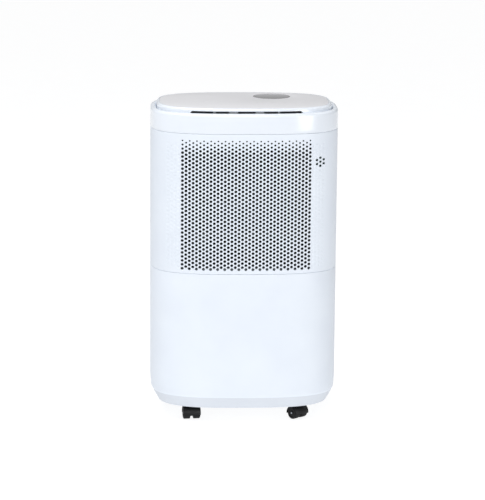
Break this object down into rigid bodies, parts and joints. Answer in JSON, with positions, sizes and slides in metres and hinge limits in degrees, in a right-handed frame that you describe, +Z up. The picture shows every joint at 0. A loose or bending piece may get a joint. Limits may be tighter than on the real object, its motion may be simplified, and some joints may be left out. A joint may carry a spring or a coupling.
{
  "type": "dehumidifier",
  "caption": "Free-standing compressor dehumidifier: rounded white cabinet on twin-wheel casters, perforated intake cover, pull-out water tank and raised top plate with an air slot.",
  "frame": {"origin": "on the floor under the middle of the cabinet", "axes": "+X to the right seen from the intake side, +Y to the rear, +Z up"},
  "size_m": [0.29, 0.2, 0.492],
  "materials": {
    "white_plastic": "satin",
    "silver_inlay": "matte",
    "grey_lens": "gloss",
    "grey_plastic": "matte",
    "clear_tank": "gloss",
    "black_plastic": "satin",
    "black_paint": "satin",
    "rubber": "matte",
    "aluminium": "mill",
    "copper": "drawn tube",
    "steel": "zinc plated",
    "circuit_board": "solder mask",
    "foam": "matte"
  },
  "bodies": {
    "cabinet": {"base_pan": "grey_plastic", "rear_shell": "white_plastic", "grip_cup_left": "grey_plastic", "grip_cup_right": "grey_plastic", "rear_screw_1": "steel", "rear_screw_2": "steel", "rear_screw_3": "steel", "rear_screw_4": "steel", "upper_housing": "white_plastic", "top_panel": "white_plastic", "top_inlay": "silver_inlay", "display_lens": "grey_lens", "display_board": "circuit_board", "outlet_grille": "black_plastic", "humidity_sensor": "circuit_board", "chassis": "grey_plastic", "compressor": "black_paint", "compressor_foot_1": "rubber", "compressor_foot_2": "rubber", "compressor_foot_3": "rubber", "accumulator": "black_paint", "evaporator": "aluminium", "condenser": "aluminium", "suction_pipe": "copper", "discharge_pipe": "copper", "fan_scroll": "grey_plastic", "fan_motor": "black_paint", "control_box": "black_plastic", "control_board": "circuit_board", "capacitor": "aluminium", "level_switch": "black_plastic", "cord_gland": "black_plastic", "drain_spout": "grey_plastic"},
    "grille_cover": {"front_grille_cover": "white_plastic"},
    "filter": {"filter_frame": "black_plastic", "filter_mesh": "black_plastic"},
    "tank": {"tank_front": "white_plastic", "tank_bucket": "clear_tank", "tank_lid": "grey_plastic"},
    "handle": {"tank_handle": "grey_plastic"},
    "float": {"tank_float": "foam"},
    "fan": {"fan_wheel": "black_plastic", "fan_shaft": "steel"},
    "plug": {"drain_plug": "rubber"},
    "caster_front_left": {"caster_front_left_hood": "black_plastic", "caster_front_left_axle": "steel"},
    "caster_front_left_wheel_a": {"caster_front_left_wheel_a": "black_plastic"},
    "caster_front_left_wheel_b": {"caster_front_left_wheel_b": "black_plastic"},
    "caster_front_right": {"caster_front_right_hood": "black_plastic", "caster_front_right_axle": "steel"},
    "caster_front_right_wheel_a": {"caster_front_right_wheel_a": "black_plastic"},
    "caster_front_right_wheel_b": {"caster_front_right_wheel_b": "black_plastic"},
    "caster_rear_left": {"caster_rear_left_hood": "black_plastic", "caster_rear_left_axle": "steel"},
    "caster_rear_left_wheel_a": {"caster_rear_left_wheel_a": "black_plastic"},
    "caster_rear_left_wheel_b": {"caster_rear_left_wheel_b": "black_plastic"},
    "caster_rear_right": {"caster_rear_right_hood": "black_plastic", "caster_rear_right_axle": "steel"},
    "caster_rear_right_wheel_a": {"caster_rear_right_wheel_a": "black_plastic"},
    "caster_rear_right_wheel_b": {"caster_rear_right_wheel_b": "black_plastic"}
  },
  "joints": [
    {"name": "cover_pull", "type": "slide", "parent": "cabinet", "child": "grille_cover", "axis": [0, -1, 0], "range_m": [0, 0.15]},
    {"name": "filter_pull", "type": "slide", "parent": "cabinet", "child": "filter", "axis": [0, -1, 0], "range_m": [0, 0.075]},
    {"name": "tank_slide", "type": "slide", "parent": "cabinet", "child": "tank", "axis": [0, -1, 0], "range_m": [0, 0.2]},
    {"name": "handle_fold", "type": "hinge", "parent": "tank", "child": "handle", "pos_m": [-0.038, -0.06, 0.182], "axis": [1, 0, 0], "range_deg": [0, 90]},
    {"name": "float_swing", "type": "hinge", "parent": "tank", "child": "float", "pos_m": [0.088, -0.063, 0.17], "axis": [1, 0, 0], "range_deg": [0, 12]},
    {"name": "fan_spin", "type": "hinge", "parent": "cabinet", "child": "fan", "pos_m": [0, 0.01, 0.35], "axis": [0, 1, 0], "continuous": true},
    {"name": "plug_pull", "type": "slide", "parent": "cabinet", "child": "plug", "axis": [0, 1, 0], "range_m": [0, 0.02]},
    {"name": "caster_front_left_swivel", "type": "hinge", "parent": "cabinet", "child": "caster_front_left", "pos_m": [-0.082, -0.061, 0.0225], "axis": [0, 0, 1], "continuous": true},
    {"name": "caster_front_left_roll_a", "type": "hinge", "parent": "caster_front_left", "child": "caster_front_left_wheel_a", "pos_m": [-0.0816, -0.06498, 0.0095], "axis": [0.995, 0.0998, 0], "continuous": true},
    {"name": "caster_front_left_roll_b", "type": "hinge", "parent": "caster_front_left", "child": "caster_front_left_wheel_b", "pos_m": [-0.0816, -0.06498, 0.0095], "axis": [0.995, 0.0998, 0], "continuous": true},
    {"name": "caster_front_right_swivel", "type": "hinge", "parent": "cabinet", "child": "caster_front_right", "pos_m": [0.082, -0.061, 0.0225], "axis": [0, 0, 1], "continuous": true},
    {"name": "caster_front_right_roll_a", "type": "hinge", "parent": "caster_front_right", "child": "caster_front_right_wheel_a", "pos_m": [0.08458, -0.06406, 0.0095], "axis": [0.7648, 0.6442, 0], "continuous": true},
    {"name": "caster_front_right_roll_b", "type": "hinge", "parent": "caster_front_right", "child": "caster_front_right_wheel_b", "pos_m": [0.08458, -0.06406, 0.0095], "axis": [0.7648, 0.6442, 0], "continuous": true},
    {"name": "caster_rear_left_swivel", "type": "hinge", "parent": "cabinet", "child": "caster_rear_left", "pos_m": [-0.082, 0.061, 0.0225], "axis": [0, 0, 1], "continuous": true},
    {"name": "caster_rear_left_roll_a", "type": "hinge", "parent": "caster_rear_left", "child": "caster_rear_left_wheel_a", "pos_m": [-0.08008, 0.05749, 0.0095], "axis": [0.8776, 0.4794, 0], "continuous": true},
    {"name": "caster_rear_left_roll_b", "type": "hinge", "parent": "caster_rear_left", "child": "caster_rear_left_wheel_b", "pos_m": [-0.08008, 0.05749, 0.0095], "axis": [0.8776, 0.4794, 0], "continuous": true},
    {"name": "caster_rear_right_swivel", "type": "hinge", "parent": "cabinet", "child": "caster_rear_right", "pos_m": [0.082, 0.061, 0.0225], "axis": [0, 0, 1], "continuous": true},
    {"name": "caster_rear_right_roll_a", "type": "hinge", "parent": "caster_rear_right", "child": "caster_rear_right_wheel_a", "pos_m": [0.08082, 0.05718, 0.0095], "axis": [0.9553, -0.2955, 0], "continuous": true},
    {"name": "caster_rear_right_roll_b", "type": "hinge", "parent": "caster_rear_right", "child": "caster_rear_right_wheel_b", "pos_m": [0.08082, 0.05718, 0.0095], "axis": [0.9553, -0.2955, 0], "continuous": true}
  ],
  "couplings": [
    {"joint": "filter_pull", "follows": "cover_pull", "ratio": 0.5},
    {"joint": "handle_fold", "follows": "tank_slide", "rad_per_m": 7.854}
  ]
}
